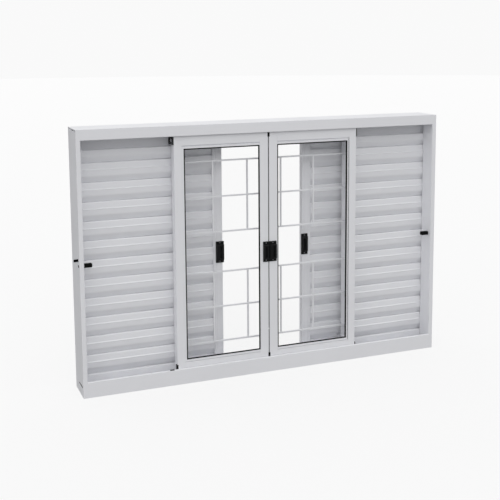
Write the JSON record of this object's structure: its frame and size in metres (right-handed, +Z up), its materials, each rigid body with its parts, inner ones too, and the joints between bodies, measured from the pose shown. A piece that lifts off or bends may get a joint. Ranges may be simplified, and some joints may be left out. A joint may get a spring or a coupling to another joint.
{
  "type": "louvred aluminium window with sliding shutters",
  "caption": "White aluminium window with glass leaves, a bar grille, fixed louvred shutters at the sides and sliding louvred shutters behind.",
  "frame": {"origin": "middle of the underside of the sill", "axes": "+X along the window to the right seen from the room, +Y from the room to the outside, +Z up"},
  "size_m": [1.5, 0.14, 1],
  "materials": {
    "frame_paint": "satin white powder coat",
    "slat_paint": "satin white powder coat",
    "grille_paint": "satin white powder coat",
    "glass": "clear, faintly grey",
    "rubber": "matt black",
    "plastic": "matt black"
  },
  "bodies": {
    "frame": {"head": "frame_paint", "sill": "frame_paint", "left_jamb": "frame_paint", "left_mullion": "frame_paint", "left_fixed_rails": "frame_paint", "left_fixed_slats": "slat_paint", "left_glass_meeting_stile": "frame_paint", "left_glass_outer_stile": "frame_paint", "left_glass_bottom_rail": "frame_paint", "left_glass_top_rail": "frame_paint", "left_glass_gasket": "rubber", "left_glass_pane": "glass", "left_glass_latch": "plastic", "right_jamb": "frame_paint", "right_mullion": "frame_paint", "right_fixed_rails": "frame_paint", "right_fixed_slats": "slat_paint", "right_glass_meeting_stile": "frame_paint", "right_glass_outer_stile": "frame_paint", "right_glass_bottom_rail": "frame_paint", "right_glass_top_rail": "frame_paint", "right_glass_gasket": "rubber", "right_glass_pane": "glass", "right_glass_latch": "plastic", "upper_grille": "grille_paint", "lower_grille": "grille_paint", "jamb_bumpers": "rubber", "corner_guides": "plastic"},
    "left_shutter": {"left_shutter_leading_stile": "frame_paint", "left_shutter_trailing_stile": "frame_paint", "left_shutter_top_rail": "frame_paint", "left_shutter_bottom_rail": "frame_paint", "left_shutter_slats": "slat_paint", "left_shutter_latch": "plastic", "left_shutter_runners": "plastic"},
    "right_shutter": {"right_shutter_leading_stile": "frame_paint", "right_shutter_trailing_stile": "frame_paint", "right_shutter_top_rail": "frame_paint", "right_shutter_bottom_rail": "frame_paint", "right_shutter_slats": "slat_paint", "right_shutter_latch": "plastic", "right_shutter_runners": "plastic"}
  },
  "joints": [
    {"name": "left_shutter_slide", "type": "slide", "parent": "frame", "child": "left_shutter", "axis": [1, 0, 0], "range_m": [-0.1595, 0.153]},
    {"name": "right_shutter_slide", "type": "slide", "parent": "frame", "child": "right_shutter", "axis": [-1, 0, 0], "range_m": [-0.137, 0.1795]}
  ]
}
